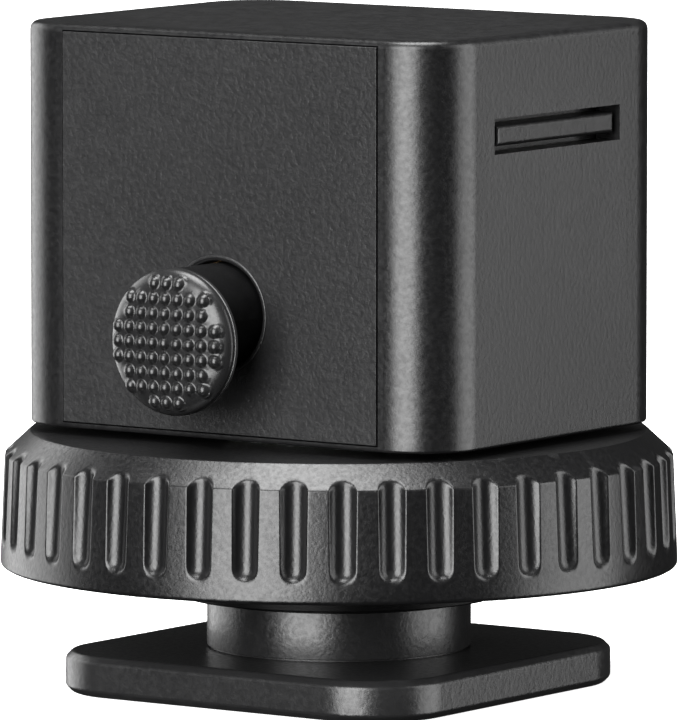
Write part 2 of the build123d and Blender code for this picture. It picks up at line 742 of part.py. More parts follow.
# Rubber rings that grip the umbrella's shaft
with BuildPart() as grip_o_rings:
    for ring_y in grip_ring_ys:
        with BuildSketch(Plane.YZ):
            with Locations((ring_y, socket_z + grip_ring_radius)):
                Circle(grip_ring_section / 2)
        revolve(axis=Axis((0, 0, socket_z), (0, 1, 0)))
grip_o_rings.part.label = "grip_o_rings"
export_step(grip_o_rings.part, "parts/grip_o_rings.step")

# Bush that guides the button's stem through the front wall
with BuildPart() as button_bush:
    with BuildSketch(front_plane(panel_back_y)):
        with Locations((0, button_z)):
            Circle(button_bush_radius)
    extrude(amount=panel_back_y - inner_front_y)
    with BuildSketch(front_plane(inner_front_y)):
        with Locations((0, button_z)):
            Circle(button_flange_radius)
    extrude(amount=-button_flange_thickness)
    with BuildSketch(front_plane(panel_back_y)):
        with Locations((0, button_z)):
            Circle(button_bore_radius)
    extrude(amount=-2 * shell_front_wall, mode=Mode.SUBTRACT)
button_bush.part.label = "button_bush"
export_step(button_bush.part, "parts/button_bush.step")

# Lock slide: its hole catches under the stem's lip until the button is pressed
with BuildPart() as lock_slide:
    with BuildSketch(Plane.XY.offset(slide_z)):
        with Locations((0, (slide_front_y + slide_rear_y) / 2)):
            Rectangle(slide_width, slide_rear_y - slide_front_y)
        with Locations((0, slide_front_y + ear_length / 2)):
            Rectangle(ear_width, ear_length)
        with Locations((0, slide_hole_y)):
            Circle(slide_hole_radius, mode=Mode.SUBTRACT)
    extrude(amount=slide_thickness)
    with BuildSketch(Plane.XY.offset(slide_top_z)):
        with Locations((0, slide_front_y + upstand_thickness / 2)):
            Rectangle(upstand_width, upstand_thickness)
    extrude(amount=upstand_top_z - slide_top_z)
    with BuildSketch(front_plane(slide_front_y)):
        with Locations((0, button_z)):
            Circle(stem_screw_radius + running_play)
    extrude(amount=-upstand_thickness, mode=Mode.SUBTRACT)
    with BuildSketch(front_plane(slide_front_y + upstand_thickness - stem_screw_head_height)):
        with Locations((0, button_z)):
            Circle(stem_screw_head_radius + running_play)
    extrude(amount=-2 * stem_screw_head_height, mode=Mode.SUBTRACT)
lock_slide.part.label = "lock_slide"
export_step(lock_slide.part, "parts/lock_slide.step")

# Button stem, with a spigot for the cap and a tapped hole for its screw
cap_z = button_z - cap_drop
spigot_z = (button_z + cap_z) / 2
with BuildPart() as button_stem:
    with BuildSketch(front_plane(slide_front_y)):
        with Locations((0, button_z)):
            Circle(button_radius)
    extrude(amount=slide_front_y - cap_back_y)
    with BuildSketch(front_plane(cap_back_y)):
        with Locations((0, spigot_z)):
            Circle(cap_spigot_radius)
    extrude(amount=cap_spigot_length)
    with BuildSketch(front_plane(slide_front_y)):
        with Locations((0, button_z)):
            Circle(stem_screw_radius + seat_play)
    extrude(amount=stem_screw_length, mode=Mode.SUBTRACT)
button_stem.part.label = "button_stem"
export_step(button_stem.part, "parts/button_stem.step")

# Screw that fixes the button's stem to the slide
stem_screw_head_y = slide_front_y + upstand_thickness - stem_screw_head_height
with BuildPart() as stem_screw:
    with BuildSketch(front_plane(stem_screw_head_y)):
        with Locations((0, button_z)):
            Circle(stem_screw_head_radius)
    extrude(amount=-stem_screw_head_height)
    with BuildSketch(front_plane(stem_screw_head_y)):
        with Locations((0, button_z)):
            Circle(stem_screw_radius)
    extrude(amount=stem_screw_length - stem_screw_head_height)
    with BuildSketch(front_plane(stem_screw_head_y + stem_screw_head_height)):
        with Locations((0, button_z)):
            Rectangle(2 * stem_screw_head_radius, screw_slot_width)
    extrude(amount=stem_screw_head_height / 2, mode=Mode.SUBTRACT)
stem_screw.part.label = "stem_screw"
export_step(stem_screw.part, "parts/stem_screw.step")

# Thumb cap: a domed rubber pad with a field of round bumps
cap_dome_edge = cap_radius - cap_rim_round
cap_dome_sag = cap_dome_radius - sqrt(cap_dome_radius**2 - cap_dome_edge**2)
cap_front = cap_rim + cap_rim_round + cap_dome_sag  # height of the dome above the cap's back
bump_places = [
    (column * bump_pitch, row * bump_pitch)
    for row in range(-bump_rows_each_way, bump_rows_each_way + 1)
    for column in range(-bump_rows_each_way, bump_rows_each_way + 1)
    if hypot(row, column) <= bump_field_radius
]
cap_axis = Axis((0, 0, cap_z), (0, 1, 0))
with BuildPart() as thumb_cap:
    with BuildSketch(Plane.YZ):
        with BuildLine():
            Line((cap_back_y, cap_z), (cap_back_y, cap_z + cap_radius))
            Line((cap_back_y, cap_z + cap_radius), (cap_back_y - cap_rim, cap_z + cap_radius))
            RadiusArc(
                (cap_back_y - cap_rim, cap_z + cap_radius),
                (cap_back_y - cap_rim - cap_rim_round, cap_z + cap_dome_edge),
                cap_rim_round,
            )
            RadiusArc(
                (cap_back_y - cap_rim - cap_rim_round, cap_z + cap_dome_edge),
                (cap_back_y - cap_front, cap_z),
                cap_dome_radius,
            )
            Line((cap_back_y - cap_front, cap_z), (cap_back_y, cap_z))
        make_face()
    revolve(axis=cap_axis)
    for bump_x, bump_z in bump_places:
        reach = hypot(bump_x, bump_z)
        sag = cap_dome_radius - sqrt(cap_dome_radius**2 - reach**2)
        bump_y = cap_back_y - cap_front + sag - bump_height + bump_radius
        with Locations((bump_x, bump_y, cap_z + bump_z)):
            Sphere(bump_radius, rotation=(90, 0, 0))
    with BuildSketch(front_plane(cap_back_y)):
        with Locations((0, spigot_z)):
            Circle(cap_spigot_radius + seat_play)
    extrude(amount=cap_spigot_length, mode=Mode.SUBTRACT)
thumb_cap.part.label = "thumb_cap"
export_step(thumb_cap.part, "parts/thumb_cap.step")

# Two springs that push the slide back to its locked place
spring_pitch = (spring_length - 2 * spring_wire_radius) / spring_turns
spring_start_y = ear_rear_y + spring_wire_radius
with BuildPart() as return_springs:
    for spring_side in (-spring_x, spring_x):
        coil_start = (spring_side, spring_start_y, spring_z)
        with BuildLine() as coil:
            Helix(spring_pitch, spring_pitch * spring_turns, spring_radius, coil_start, (0, 1, 0))
        with BuildSketch(Plane(origin=coil.line @ 0, z_dir=coil.line % 0)):
            Circle(spring_wire_radius)
        sweep(path=coil.line)
return_springs.part.label = "return_springs"
export_step(return_springs.part, "parts/return_springs.step")
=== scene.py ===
import json
import math

import bmesh
import bpy
from mathutils import Matrix, Vector


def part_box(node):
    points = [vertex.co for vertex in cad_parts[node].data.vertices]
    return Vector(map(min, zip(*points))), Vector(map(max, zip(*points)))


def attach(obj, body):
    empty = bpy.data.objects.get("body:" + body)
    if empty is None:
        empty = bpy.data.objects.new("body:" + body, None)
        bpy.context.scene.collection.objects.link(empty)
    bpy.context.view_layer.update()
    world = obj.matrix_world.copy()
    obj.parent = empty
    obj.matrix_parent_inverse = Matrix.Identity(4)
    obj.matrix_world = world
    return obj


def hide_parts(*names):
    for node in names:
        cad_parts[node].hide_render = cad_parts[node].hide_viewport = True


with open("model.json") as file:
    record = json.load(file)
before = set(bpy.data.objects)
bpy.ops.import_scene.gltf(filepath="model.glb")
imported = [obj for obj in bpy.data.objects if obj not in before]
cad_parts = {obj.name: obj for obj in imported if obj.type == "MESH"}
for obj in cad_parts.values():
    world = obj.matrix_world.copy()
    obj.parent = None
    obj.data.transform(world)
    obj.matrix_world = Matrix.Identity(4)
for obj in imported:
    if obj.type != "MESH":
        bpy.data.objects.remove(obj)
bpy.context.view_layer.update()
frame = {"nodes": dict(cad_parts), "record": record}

mm = 0.001  # pieces are drawn in millimetres and brought to metres when they are placed
past = 1  # how far a cutter reaches beyond what it cuts
fineWeld = 0.0002  # points closer than this become one in the finely divided pieces
print("frame loaded:", len(frame["nodes"]), "nodes")


def span(node):
    # lowest and highest corner of a CAD node, in millimetres
    low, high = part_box(node)
    return Vector(low) / mm, Vector(high) / mm


def newPiece(name, verts, faces):
    mesh = bpy.data.meshes.new(name)
    mesh.from_pydata([tuple(v) for v in verts], [], faces)
    mesh.validate()
    piece = bpy.data.objects.new(name, mesh)
    bpy.context.scene.collection.objects.link(piece)
    return piece


def shade(piece, angle=30):
    piece.data.shade_smooth()
    piece.data.set_sharp_from_angle(angle=math.radians(angle))


def tidyMesh(piece, gap=0.0005):
    # joins doubled points and turns every face outwards
    form = bmesh.new()
    form.from_mesh(piece.data)
    bmesh.ops.remove_doubles(form, verts=form.verts, dist=gap)
    bmesh.ops.dissolve_degenerate(form, edges=form.edges, dist=gap)
    bmesh.ops.recalc_face_normals(form, faces=form.faces)
    form.to_mesh(piece.data)
    form.free()


def bake(piece):
    # puts the result of the modifiers into the mesh
    graph = bpy.context.evaluated_depsgraph_get()
    done = bpy.data.meshes.new_from_object(piece.evaluated_get(graph))
    piece.modifiers.clear()
    piece.data = done


def place(piece, body, slot, material, *nodes, angle=30):
    # brings a finished piece to metres, gives it its body and finish, and hides the CAD nodes it takes the
    # place of
    piece.data.transform(Matrix.Scale(mm, 4))
    shade(piece, angle)
    flat = piece.modifiers.new("flat", "WEIGHTED_NORMAL")  # keeps the wide faces flat beside their rounds
    flat.keep_sharp = True
    bake(piece)
    piece.data.materials.clear()
    piece.data.materials.append(material)
    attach(piece, body)
    if nodes:
        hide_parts(*nodes)
    return piece


def cut(piece, *cutters):
    for cutter in cutters:
        trim = piece.modifiers.new("cut", "BOOLEAN")
        trim.object = cutter
        trim.operation = "DIFFERENCE"
        trim.solver = "EXACT"
        bake(piece)
        bpy.data.objects.remove(cutter)
    tidyMesh(piece)
    return piece


def soften(piece, width, steps=3, angle=40):
    # rounds every edge that is sharper than the angle
    edge = piece.modifiers.new("soften", "BEVEL")
    edge.width = width
    edge.segments = steps
    edge.limit_method = "ANGLE"
    edge.angle_limit = math.radians(angle)
    bake(piece)
    return piece


def joinPieces(piece, *others):
    form = bmesh.new()
    form.from_mesh(piece.data)
    for other in others:
        form.from_mesh(other.data)
        bpy.data.objects.remove(other)
    form.to_mesh(piece.data)
    form.free()
    return piece


def boxPiece(name, low, high):
    (x0, y0, z0), (x1, y1, z1) = low, high
    verts = [(x, y, z) for z in (z0, z1) for y in (y0, y1) for x in (x0, x1)]
    faces = [(0, 2, 3, 1), (4, 5, 7, 6), (0, 1, 5, 4), (2, 6, 7, 3), (0, 4, 6, 2), (1, 3, 7, 5)]
    return newPiece(name, verts, faces)


def circleSteps(steps):
    return [2 * math.pi * i / steps for i in range(steps)]


def roundCorners(points, steps=4, closed=False):
    # a path of (a, b, radius) corners becomes points with round corners
    path = []
    count = len(points)
    for i, (a, b, radius) in enumerate(points):
        here = Vector((a, b))
        if radius == 0 or (not closed and i in (0, count - 1)):
            path.append(here)
            continue
        back = Vector(points[i - 1][:2]) - here
        on = Vector(points[(i + 1) % count][:2]) - here
        half = back.angle(on) / 2
        reach = min(radius / math.tan(half), back.length * 0.49, on.length * 0.49)
        first, last = here + back.normalized() * reach, here + on.normalized() * reach
        for s in range(steps + 1):
            t = s / steps
            path.append((1 - t) ** 2 * first + 2 * t * (1 - t) * here + t * t * last)
    return path


def lathe(name, points, origin=(0, 0, 0), axis="Z", segments=192):
    # turns a closed profile of (radius, height, corner radius) about an axis through the origin
    path = roundCorners(points, closed=True)
    count = len(path)
    verts, faces = [], []
    for a in circleSteps(segments):
        for p in path:
            across, side = p.x * math.cos(a), p.x * math.sin(a)
            spot = (across, side, p.y) if axis == "Z" else (across, p.y, side)
            verts.append(Vector(origin) + Vector(spot))
    for i in range(segments):
        j = (i + 1) % segments
        for k in range(count):
            m = (k + 1) % count
            faces.append((i * count + k, j * count + k, j * count + m, i * count + m))
    piece = newPiece(name, verts, faces)
    tidyMesh(piece)
    return piece


def crossPin(name, radius, start, end, z, segments):
    # a round cutter lying along Y at a height
    corners = [(radius, start, 0), (radius, end, 0), (0, end, 0), (0, start, 0)]
    return lathe(name, corners, (0, 0, z), "Y", segments)


def stemHeight():
    # height of the button stem's axis
    low, high = span("button_stem")
    return high.z - (high.x - low.x) / 2


def roundedOutline(halfX, halfY, radius, steps=14):
    # corners of a rounded rectangle, going round once
    outline = []
    for turn, (cx, cy) in enumerate([(1, 1), (-1, 1), (-1, -1), (1, -1)]):
        for s in range(steps + 1):
            a = math.pi / 2 * (turn + s / steps)
            x = cx * (halfX - radius) + radius * math.cos(a)
            y = cy * (halfY - radius) + radius * math.sin(a)
            outline.append((x, y))
    return outline


def loft(name, halfX, halfY, radius, rows):
    # stacks rounded rectangles; each row is (height, how far it is drawn in)
    verts, faces = [], []
    for z, inset in rows:
        ring = roundedOutline(halfX - inset, halfY - inset, radius - inset)
        verts += [(x, y, z) for x, y in ring]
    n = len(ring)
    for k in range(len(rows) - 1):
        for i in range(n):
            j = (i + 1) % n
            faces.append((k * n + i, k * n + j, (k + 1) * n + j, (k + 1) * n + i))
    faces.append(tuple(reversed(range(n))))
    faces.append(tuple(range((len(rows) - 1) * n, len(rows) * n)))
    piece = newPiece(name, verts, faces)
    tidyMesh(piece)
    return piece


def filletRows(low, high, lowRound, highRound, steps=5):
    # heights and insets of a block with a round lower and upper edge
    rows = []
    for s in range(steps + 1):
        a = math.pi / 2 * s / steps
        rows.append((low + lowRound * (1 - math.sin(a)), lowRound * (1 - math.cos(a))))
    rows.sort()
    for s in range(steps + 1):
        a = math.pi / 2 * s / steps
        rows.append((high - highRound * (1 - math.sin(a)), highRound * (1 - math.cos(a))))
    return rows


def startMaterial(name):
    material = bpy.data.materials.new(name)
    material.use_nodes = True
    nodes, links = material.node_tree.nodes, material.node_tree.links
    shader = nodes["Principled BSDF"]
    spot = nodes.new("ShaderNodeTexCoord").outputs["Object"]
    return material, nodes, links, shader, spot


def noise(nodes, links, spot, perMm, detail=2.0, roughness=0.5, stretch=None):
    if stretch is not None:
        squeeze = nodes.new("ShaderNodeMapping")
        squeeze.inputs["Scale"].default_value = stretch
        links.new(spot, squeeze.inputs["Vector"])
        spot = squeeze.outputs["Vector"]
    cloud = nodes.new("ShaderNodeTexNoise")
    cloud.inputs["Scale"].default_value = perMm / mm
    cloud.inputs["Detail"].default_value = detail
    cloud.inputs["Roughness"].default_value = roughness
    links.new(spot, cloud.inputs["Vector"])
    return cloud.outputs["Fac"]


def spread(nodes, links, value, low, high, fromLow=0.0, fromHigh=1.0):
    ranger = nodes.new("ShaderNodeMapRange")
    ranger.inputs["From Min"].default_value = fromLow
    ranger.inputs["From Max"].default_value = fromHigh
    ranger.inputs["To Min"].default_value = low
    ranger.inputs["To Max"].default_value = high
    links.new(value, ranger.inputs["Value"])
    return ranger.outputs["Result"]


def tint(nodes, links, value, dark, light):
    mix = nodes.new("ShaderNodeMix")
    mix.data_type = "RGBA"
    for name, colour in (("A", dark), ("B", light)):
        socket = [s for s in mix.inputs if s.name == name and s.type == "RGBA"][0]
        if isinstance(colour, tuple):
            socket.default_value = (*colour, 1)
        else:
            links.new(colour, socket)
    links.new(value, mix.inputs["Factor"])
    return [s for s in mix.outputs if s.type == "RGBA"][0]


def bump(nodes, links, height, depth, normal=None):
    relief = nodes.new("ShaderNodeBump")
    relief.inputs["Strength"].default_value = 1.0
    relief.inputs["Distance"].default_value = depth * mm
    links.new(height, relief.inputs["Height"])
    if normal is not None:
        links.new(normal, relief.inputs["Normal"])
    return relief.outputs["Normal"]


wear = {"starts": 0.53, "full": 0.6, "patchesPerMm": 1.3, "least": 0.2}  # starts and full are Pointiness


def edgeWear(nodes, links, spot):
    # brighter where the surface is sharply rounded outwards, broken up by a cloud
    sharp = nodes.new("ShaderNodeNewGeometry").outputs["Pointiness"]
    edge = spread(nodes, links, sharp, 0.0, 1.0, wear["starts"], wear["full"])
    patches = noise(nodes, links, spot, wear["patchesPerMm"], 3.0, 0.6)
    patch = spread(nodes, links, patches, wear["least"], 1.0, 0.35, 0.65)
    both = nodes.new("ShaderNodeMath")
    both.operation = "MULTIPLY"
    links.new(edge, both.inputs[0])
    links.new(patch, both.inputs[1])
    return both.outputs["Value"]


plastic = {"fineTimes": 3.1, "fineDepth": 0.22, "driftPerMm": 0.35, "smoother": 0.05, "rougher": 0.06}


def mouldedPlastic(name, dark, light, worn, roughness, grainDepth, grainPerMm=4.6, gloss=0.5):
    # plastic from a spark-eroded mould: fine pebble grain, a little colour drift
    material, nodes, links, shader, spot = startMaterial(name)
    grain = noise(nodes, links, spot, grainPerMm, 1.5, 0.55)
    fine = noise(nodes, links, spot, grainPerMm * plastic["fineTimes"], 1.0, 0.5)
    drift = noise(nodes, links, spot, plastic["driftPerMm"], 3.0, 0.55)
    body = tint(nodes, links, spread(nodes, links, drift, 0, 1, 0.3, 0.7), dark, light)
    colour = tint(nodes, links, edgeWear(nodes, links, spot), body, worn)
    links.new(colour, shader.inputs["Base Color"])
    smooth, rough = roughness - plastic["smoother"], roughness + plastic["rougher"]
    links.new(spread(nodes, links, grain, smooth, rough, 0.3, 0.7), shader.inputs["Roughness"])
    coarse = bump(nodes, links, grain, grainDepth)
    links.new(bump(nodes, links, fine, grainDepth * plastic["fineDepth"], coarse), shader.inputs["Normal"])
    shader.inputs["Specular IOR Level"].default_value = gloss
    return material


metal = {"markDepth": 0.0012, "stainPerMm": 0.5, "smoother": 0.07, "rougher": 0.09}


def turnedMetal(name, dark, light, roughness, grainPerMm=9.0, stretch=(1, 1, 14), metallic=1.0, gloss=0.5):
    # fine tool marks round the axis and a slight stain
    material, nodes, links, shader, spot = startMaterial(name)
    marks = noise(nodes, links, spot, grainPerMm, 2.0, 0.6, stretch)
    stain = noise(nodes, links, spot, metal["stainPerMm"], 4.0, 0.6)
    colour = tint(nodes, links, spread(nodes, links, stain, 0, 1, 0.35, 0.65), dark, light)
    links.new(colour, shader.inputs["Base Color"])
    smooth, rough = roughness - metal["smoother"], roughness + metal["rougher"]
    links.new(spread(nodes, links, marks, smooth, rough, 0.3, 0.7), shader.inputs["Roughness"])
    links.new(bump(nodes, links, marks, metal["markDepth"]), shader.inputs["Normal"])
    shader.inputs["Metallic"].default_value = metallic
    shader.inputs["Specular IOR Level"].default_value = gloss
    return material


rubber = {"skinPerMm": 11.0, "skinDepth": 0.0015, "bloomPerMm": 0.8, "smoother": 0.04, "rougher": 0.05}


def smoothRubber(name, dark, light, roughness):
    # a fine skin and a faint bloom of paler patches
    material, nodes, links, shader, spot = startMaterial(name)
    skin = noise(nodes, links, spot, rubber["skinPerMm"], 2.0, 0.5)
    bloom = noise(nodes, links, spot, rubber["bloomPerMm"], 3.0, 0.6)
    colour = tint(nodes, links, spread(nodes, links, bloom, 0, 1, 0.35, 0.7), dark, light)
    links.new(colour, shader.inputs["Base Color"])
    smooth, rough = roughness - rubber["smoother"], roughness + rubber["rougher"]
    links.new(spread(nodes, links, skin, smooth, rough, 0.3, 0.7), shader.inputs["Roughness"])
    links.new(bump(nodes, links, skin, rubber["skinDepth"]), shader.inputs["Normal"])
    return material


finishes = {
    "shell_plastic": mouldedPlastic("shell black", (0.0045, 0.0045, 0.0048), (0.0055, 0.0055, 0.0058),
                                    (0.014, 0.014, 0.0145), 0.35, 0.007),
    # the panel's black is made lighter than the shell's: painted light for the light its front face catches
    "panel_plastic": mouldedPlastic("panel black lightened as painted light", (0.0115, 0.0115, 0.012), (0.0135, 0.0135, 0.014),
                                    (0.018, 0.018, 0.0185), 0.39, 0.019),
    "wheel_plastic": mouldedPlastic("wheel black", (0.0042, 0.0042, 0.0045), (0.0052, 0.0052, 0.0055),
                                    (0.016, 0.016, 0.0165), 0.33, 0.009, 5.5),
    # the foot's black is made lighter than the shell's: painted light for the light on its top and sides
    "foot_plastic": mouldedPlastic("foot black lightened as painted light", (0.014, 0.014, 0.0144), (0.017, 0.017, 0.0174),
                                   (0.022, 0.022, 0.0225), 0.33, 0.010),
    "frame_plastic": mouldedPlastic("frame black", (0.006, 0.006, 0.0063), (0.008, 0.008, 0.0083),
                                    (0.016, 0.016, 0.0165), 0.33, 0.006),
    # the button's black is made darker than the other plastics: painted shade for the shade the stem sits in
    # before the panel
    "button_plastic": mouldedPlastic("button black darkened as painted shade", (0.002, 0.002, 0.0022), (0.003, 0.003, 0.0032),
                                     (0.006, 0.006, 0.0063), 0.5, 0.002, 9.0, 0.1),
    "slip_plastic": mouldedPlastic("white acetal", (0.70, 0.70, 0.67), (0.78, 0.78, 0.75),
                                   (0.8, 0.8, 0.78), 0.34, 0.003, 9.0),
    # the cap rubber's black is made lighter than the shell's: painted light for the light on the cap's front
    "cap_rubber": smoothRubber("cap rubber lightened as painted light", (0.011, 0.011, 0.0114), (0.014, 0.014, 0.0144), 0.31),
    "ring_rubber": smoothRubber("nitrile rubber", (0.012, 0.012, 0.012), (0.02, 0.02, 0.02), 0.42),
    "washer_steel": turnedMetal("black coated steel", (0.002, 0.002, 0.0022), (0.003, 0.003, 0.0032),
                                0.5, metallic=0.0, gloss=0.12),
    "stem_steel": turnedMetal("turned steel", (0.50, 0.50, 0.51), (0.60, 0.60, 0.61), 0.26),
    "slide_steel": turnedMetal("stamped steel", (0.44, 0.44, 0.45), (0.54, 0.54, 0.55), 0.34,
                               6.0, (1, 8, 1)),
    "fastener_steel": turnedMetal("black oxide steel", (0.05, 0.05, 0.055), (0.09, 0.09, 0.095), 0.38),
    "spring_steel": turnedMetal("spring wire", (0.52, 0.52, 0.53), (0.64, 0.64, 0.65), 0.24),
    "insert_brass": turnedMetal("turned brass", (0.62, 0.44, 0.16), (0.74, 0.55, 0.24), 0.27),
    "bush_bronze": turnedMetal("sintered bronze", (0.42, 0.26, 0.12), (0.56, 0.37, 0.19), 0.46,
                               12.0, (1, 1, 1)),
    "sleeve_aluminium": turnedMetal("black anodised aluminium", (0.03, 0.03, 0.032), (0.045, 0.045, 0.047),
                                    0.36, 8.0, (1, 10, 1), 0.6),
}
print("finishes made:", len(finishes))

slotOf = {row["node"]: row["material_slot"] for row in frame["record"]["subparts"]}
for nodeName, holder in frame["nodes"].items():
    holder.data.materials.clear()
    holder.data.materials.append(finishes[slotOf[nodeName]])
    shade(holder)
print("CAD nodes dressed")

wheel = {
    "flutes": 44, "firstFlute": -54.23, "fluteRadius": 0.63, "lowDepth": 0.29, "highDepth": 0.36,
    "fluteStart": 0.83, "fluteEdge": 0.07, "fluteWall": 4, "sideRadius": 14.1, "topRadius": 13.0,
    "chamferHeight": 1.01, "rimRise": 1.43, "rimInner": 13.3, "recess": 1.2, "recessRound": 0.3,
    "hubWall": 1.4, "edge": 0.13, "shoulderEdge": 0.169, "rimEdge": 0.195,
    "ribs": 14, "ribWidth": 0.9, "ribRound": 0.08, "ribOverlap": 0.1,
    "ringBite": 0.15, "play": 0.03, "grooveDepth": 0.22, "boreGap": 0.25, "boreStep": 0.6, "pocketDepth": 1.9,
    # columns of points from the middle of a flute to its side, and the spacing of the rows
    "across": (0.0, 0.11, 0.22, 0.32, 0.4, 0.46, 0.51, 0.55, 0.58, 0.61, 0.65, 0.74),
    "plainRows": 5, "shoulderRows": 0.13, "endRows": 0.09, "sideRows": 0.55,
    "endAbove": 0.1, "endBelow": 0.15, "topMargin": 0.2, "rimMargin": 0.3, "fluteMargin": 0.3,
}


def refine(path, longest):
    # splits the long runs of a profile, given how long a run may be at each height
    fine = [path[0]]
    for a, b in zip(path, path[1:]):
        parts = max(1, math.ceil((b - a).length / longest((a + b) / 2)))
        fine += [a.lerp(b, k / parts) for k in range(1, parts + 1)]
    return fine


def makeWheel():
    low, high = span("lock_wheel")
    insertLow, insertHigh = span("thread_insert")
    ringLow, ringHigh = span("washer_snap_ring")
    hubLow = low.z
    bottom = span("clamp_washer")[0].z + wheel["rimRise"]  # rim's lower edge
    top = high.z
    outer = high.x
    sideTop = top - wheel["chamferHeight"]
    radius = wheel["fluteRadius"]
    highAxis = wheel["sideRadius"] - wheel["highDepth"] + radius
    lowCentre = bottom + wheel["fluteStart"] + radius

    def sideAt(z):
        # radius of the sloping side at a height
        return outer - (outer - wheel["sideRadius"]) * (z - bottom) / (sideTop - bottom)

    lowAxis = sideAt(lowCentre) - wheel["lowDepth"] + radius
    hubIn = ringHigh.x - wheel["ringBite"]
    hubOut = hubIn + wheel["hubWall"]
    seat = insertHigh.x + wheel["play"]
    bore = span("thrust_washer")[1].x + wheel["boreGap"]
    lowBore = bore + wheel["boreStep"]
    groove = hubIn + wheel["grooveDepth"]
    grooveLow, grooveHigh = ringLow.z - wheel["play"], ringHigh.z + wheel["play"]
    nearEnd = lowCentre + wheel["endAbove"]  # rows are close together from here down to farEnd
    farEnd = lowCentre - radius - wheel["endBelow"]
    edge, recessTop, pocketTop = wheel["edge"], bottom + wheel["recess"], hubLow + wheel["pocketDepth"]
    corners = [
        (bore, top, 0), (wheel["topRadius"], top, edge),
        (wheel["sideRadius"], sideTop, wheel["shoulderEdge"]),
        (sideAt(nearEnd), nearEnd, 0), (sideAt(farEnd), farEnd, 0), (outer, bottom, wheel["rimEdge"]),
        (wheel["rimInner"], bottom, edge), (wheel["rimInner"], recessTop, wheel["recessRound"]),
        (hubOut, recessTop, wheel["recessRound"]), (hubOut, hubLow, edge), (hubIn, hubLow, edge),
        (hubIn, grooveLow, 0), (groove, grooveLow, 0), (groove, grooveHigh, 0), (hubIn, grooveHigh, 0),
        (hubIn, pocketTop, 0), (lowBore, pocketTop, 0),
        (lowBore, insertLow.z, 0), (seat, insertLow.z, 0), (seat, insertHigh.z, 0), (bore, insertHigh.z, 0),
        (bore, top, 0),
    ]

    def longest(p):
        if p.x < wheel["topRadius"] - wheel["topMargin"] or p.y < bottom + wheel["rimMargin"]:
            return wheel["plainRows"]
        if p.y > sideTop:
            return wheel["shoulderRows"]
        return wheel["endRows"] if farEnd < p.y < nearEnd else wheel["sideRows"]

    def fluted(r, z, x):
        # how far out the surface is, with the flute's channel taken out and its edges rounded
        if r < wheel["topRadius"] - wheel["fluteMargin"] or z <= bottom:
            return r
        lift = (z - lowCentre) / (sideTop - lowCentre)
        axis = lowAxis + (highAxis - lowAxis) * max(0.0, lift)
        away = math.hypot(x, max(0.0, lowCentre - z))
        if away < radius:
            channel = axis - math.sqrt(radius * radius - away * away)
        else:
            channel = axis + (away - radius) * wheel["fluteWall"]
        blendWidth = wheel["fluteEdge"]
        near = max(blendWidth - abs(channel - r), 0.0) / blendWidth
        return min(channel, r) - near * near * blendWidth / 4

    path = refine(roundCorners(corners), longest)
    half = [x / wheel["sideRadius"] for x in wheel["across"]] + [math.pi / wheel["flutes"]]
    steps = [-a for a in reversed(half[1:-1])] + half
    columns = []
    for f in range(wheel["flutes"]):
        start = math.radians(wheel["firstFlute"]) + 2 * math.pi * f / wheel["flutes"]
        columns += [(start + a, abs(a)) for a in steps]
    verts, faces = [], []
    n = len(path)
    for turn, off in columns:
        for p in path:
            r = fluted(p.x, p.y, off * p.x)
            verts.append((r * math.cos(turn), r * math.sin(turn), p.y))
    for i in range(len(columns)):
        j = (i + 1) % len(columns)
        faces += [(i * n + k, j * n + k, j * n + k + 1, i * n + k + 1) for k in range(n - 1)]
    body = newPiece("fluted_wheel", verts, faces)
    tidyMesh(body, fineWeld)
    ribs = []
    overlap, side = wheel["ribOverlap"], wheel["ribWidth"] / 2
    ribLow, ribHigh = bottom + wheel["recess"] / 3, recessTop + overlap
    for turn in circleSteps(wheel["ribs"]):
        rib = boxPiece("rib", (hubOut - overlap, -side, ribLow), (wheel["rimInner"] + overlap, side, ribHigh))
        rib.data.transform(Matrix.Rotation(turn, 4, "Z"))
        ribs.append(soften(rib, wheel["ribRound"], 2))
    joinPieces(body, *ribs)
    place(body, "wheel", "wheel_plastic", finishes["wheel_plastic"], "lock_wheel", angle=40)


makeWheel()
print("wheel made")

cap = {
    "bumpPitch": 0.61, "bumpRadius": 0.27, "bumpHeight": 0.21, "rowsEachWay": 4, "fieldReach": 4.25,
    "domeRadius": 22.0, "rim": 0.35, "rimReach": 0.85, "rimDrop": 0.45, "foot": 0.08,
    "grooveHigh": 0.3, "grooveLow": 0.18, "grooveSlope": 0.02, "grooveDepth": 0.04, "backRound": 0.05,
    "rings": 56, "rimRings": 24, "spokes": 330,
}


